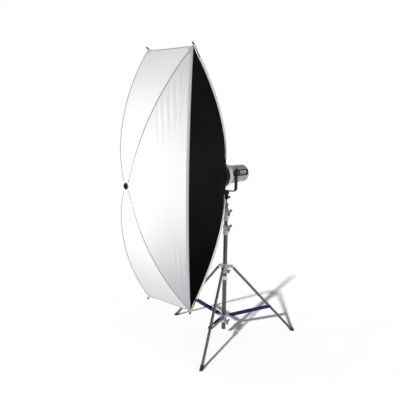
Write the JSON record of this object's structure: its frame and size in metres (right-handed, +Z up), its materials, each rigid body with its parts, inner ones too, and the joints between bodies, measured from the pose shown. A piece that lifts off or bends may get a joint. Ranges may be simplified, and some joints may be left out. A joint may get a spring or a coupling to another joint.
{
  "type": "studio strip softbox on a flash head and light stand",
  "caption": "Tall studio softbox with black shell and domed white front, on a flash head in a tilting yoke over a folding telescopic tripod stand.",
  "frame": {"origin": "on the floor under the mast axis", "axes": "+Z up the mast, -Y the way the softbox shines, +X to the side of the grip loop"},
  "size_m": [1.0082, 1.556, 2.2878],
  "materials": {
    "black_cloth": "matte",
    "white_cloth": "matte",
    "pale_cloth": "matte",
    "black_rod": "satin",
    "rib": "satin",
    "black_plastic": "satin",
    "ring_metal": "satin",
    "lamp_grey": "satin",
    "panel": "matte",
    "red_plastic": "gloss",
    "lamp_glass": "clear",
    "black_metal": "satin",
    "bright_steel": "satin",
    "chrome_tube": "polished",
    "cast_grey": "satin",
    "rubber": "matte",
    "navy_metal": "satin",
    "dark_metal": "satin"
  },
  "bodies": {
    "stand": {"base_column": "chrome_tube", "column_plug": "black_plastic", "column_clamp": "cast_grey", "leg_collar": "cast_grey", "stop_ring": "ring_metal", "leg_pivot_bolts": "bright_steel"},
    "column_knob": {"column_clamp_knob": "cast_grey"},
    "collar_knob": {"leg_collar_knob": "cast_grey"},
    "leg_1": {"leg_tube_1": "chrome_tube", "leg_foot_1": "rubber"},
    "leg_2": {"leg_tube_2": "chrome_tube", "leg_foot_2": "rubber"},
    "leg_3": {"leg_tube_3": "chrome_tube", "leg_foot_3": "rubber"},
    "slider": {"runner": "cast_grey", "runner_bolts": "bright_steel"},
    "slider_knob": {"runner_knob": "cast_grey"},
    "strut_1": {"brace_1": "navy_metal"},
    "strut_2": {"brace_2": "navy_metal"},
    "strut_3": {"brace_3": "navy_metal"},
    "riser_low": {"middle_tube": "chrome_tube", "riser_clamp": "cast_grey"},
    "riser_knob": {"riser_clamp_knob": "cast_grey"},
    "riser_high": {"top_tube": "chrome_tube", "top_fitting": "dark_metal"},
    "head": {"stand_socket": "black_metal", "yoke": "black_metal", "yoke_screws": "bright_steel"},
    "socket_knob": {"socket_lock_knob": "bright_steel"},
    "lamp": {"front_housing": "black_plastic", "front_ring": "lamp_grey", "flash_body": "lamp_grey", "rear_panel": "panel", "side_grip": "black_plastic", "pivot_shafts": "bright_steel", "flash_tube": "lamp_glass", "modelling_lamp": "lamp_glass", "mains_inlet": "black_plastic", "adapter_ring": "ring_metal"},
    "tilt_knob": {"tilt_lock_knob": "black_plastic"},
    "dial": {"power_dial": "panel"},
    "button": {"test_button": "red_plastic"},
    "rocker": {"rocker_switch": "black_plastic"},
    "softbox": {"speed_ring": "ring_metal", "back_rods": "black_rod", "rod_sleeves": "pale_cloth", "corner_pockets": "pale_cloth", "back_top": "black_cloth", "back_bottom": "black_cloth", "back_left": "black_cloth", "back_right": "black_cloth", "front_top": "white_cloth", "front_bottom": "white_cloth", "front_left": "white_cloth", "front_right": "white_cloth", "front_ribs": "rib", "front_hub": "black_plastic", "hub_grommet": "pale_cloth", "inner_baffle": "white_cloth"}
  },
  "joints": [
    {"name": "leg_1_fold", "type": "hinge", "parent": "stand", "child": "leg_1", "pos_m": [0.02536, -0.05438, 0.606], "axis": [0.9063, 0.4226, 0], "range_deg": [0, 37.74]},
    {"name": "leg_2_fold", "type": "hinge", "parent": "stand", "child": "leg_2", "pos_m": [0.03442, 0.04915, 0.606], "axis": [-0.8192, 0.5736, 0], "range_deg": [0, 37.75]},
    {"name": "leg_3_fold", "type": "hinge", "parent": "stand", "child": "leg_3", "pos_m": [-0.05977, 0.00523, 0.606], "axis": [-0.0872, -0.9962, 0], "range_deg": [0, 37.75]},
    {"name": "runner_slide", "type": "slide", "parent": "stand", "child": "slider", "axis": [0, 0, 1], "range_m": [0, 0.2781]},
    {"name": "brace_1_fold", "type": "hinge", "parent": "slider", "child": "strut_1", "pos_m": [0.01902, -0.04078, 0.183], "axis": [0.9063, 0.4226, 0], "range_deg": [0, 89.3]},
    {"name": "brace_2_fold", "type": "hinge", "parent": "slider", "child": "strut_2", "pos_m": [0.02581, 0.03686, 0.183], "axis": [-0.8192, 0.5736, 0], "range_deg": [0, 89.3]},
    {"name": "brace_3_fold", "type": "hinge", "parent": "slider", "child": "strut_3", "pos_m": [-0.04483, 0.00392, 0.183], "axis": [-0.0872, -0.9962, 0], "range_deg": [0, 89.3]},
    {"name": "riser_low_slide", "type": "slide", "parent": "stand", "child": "riser_low", "axis": [0, 0, 1], "range_m": [0, 0.6]},
    {"name": "riser_high_slide", "type": "slide", "parent": "riser_low", "child": "riser_high", "axis": [0, 0, 1], "range_m": [0, 0.6]},
    {"name": "head_swivel", "type": "hinge", "parent": "riser_high", "child": "head", "pos_m": [0, 0, 1.183], "axis": [0, 0, 1], "continuous": true},
    {"name": "lamp_tilt", "type": "hinge", "parent": "head", "child": "lamp", "pos_m": [0, 0.012, 1.384], "axis": [-1, 0, 0], "range_deg": [-10, 30]},
    {"name": "box_roll", "type": "hinge", "parent": "lamp", "child": "softbox", "pos_m": [0, -0.108, 1.362], "axis": [0, 1, 0], "range_deg": [-90, 90]},
    {"name": "column_knob_turn", "type": "hinge", "parent": "stand", "child": "column_knob", "pos_m": [0.02898, -0.00777, 0.941], "axis": [0.9659, -0.2588, 0], "range_deg": [0, 360]},
    {"name": "riser_knob_turn", "type": "hinge", "parent": "riser_low", "child": "riser_knob", "pos_m": [0.02705, -0.00725, 1.065], "axis": [0.9659, -0.2588, 0], "range_deg": [0, 360]},
    {"name": "collar_knob_turn", "type": "hinge", "parent": "stand", "child": "collar_knob", "pos_m": [0.02989, -0.00262, 0.576], "axis": [0.9962, -0.0872, 0], "range_deg": [0, 360]},
    {"name": "runner_knob_turn", "type": "hinge", "parent": "slider", "child": "slider_knob", "pos_m": [0.02989, -0.00262, 0.1425], "axis": [0.9962, -0.0872, 0], "range_deg": [0, 360]},
    {"name": "socket_knob_turn", "type": "hinge", "parent": "head", "child": "socket_knob", "pos_m": [0.02, 0, 1.185], "axis": [1, 0, 0], "range_deg": [0, 360]},
    {"name": "tilt_knob_turn", "type": "hinge", "parent": "lamp", "child": "tilt_knob", "pos_m": [-0.095, 0.012, 1.384], "axis": [-1, 0, 0], "range_deg": [0, 360]},
    {"name": "power_dial_turn", "type": "hinge", "parent": "lamp", "child": "dial", "pos_m": [-0.014, 0.206, 1.382], "axis": [0, 1, 0], "range_deg": [-140, 140]},
    {"name": "test_button_press", "type": "slide", "parent": "lamp", "child": "button", "axis": [0, -1, 0], "range_m": [0, 0.002], "stiffness_N_per_m": 400},
    {"name": "rocker_tip", "type": "hinge", "parent": "lamp", "child": "rocker", "pos_m": [0.029, 0.206, 1.348], "axis": [1, 0, 0], "range_deg": [-8, 8]}
  ],
  "couplings": [
    {"joint": "leg_2_fold", "follows": "leg_1_fold", "ratio": 1},
    {"joint": "leg_3_fold", "follows": "leg_1_fold", "ratio": 1},
    {"joint": "runner_slide", "follows": "leg_1_fold", "m_per_rad": 0.4219},
    {"joint": "brace_1_fold", "follows": "leg_1_fold", "ratio": 2.3657},
    {"joint": "brace_2_fold", "follows": "leg_1_fold", "ratio": 2.3657},
    {"joint": "brace_3_fold", "follows": "leg_1_fold", "ratio": 2.3657}
  ]
}
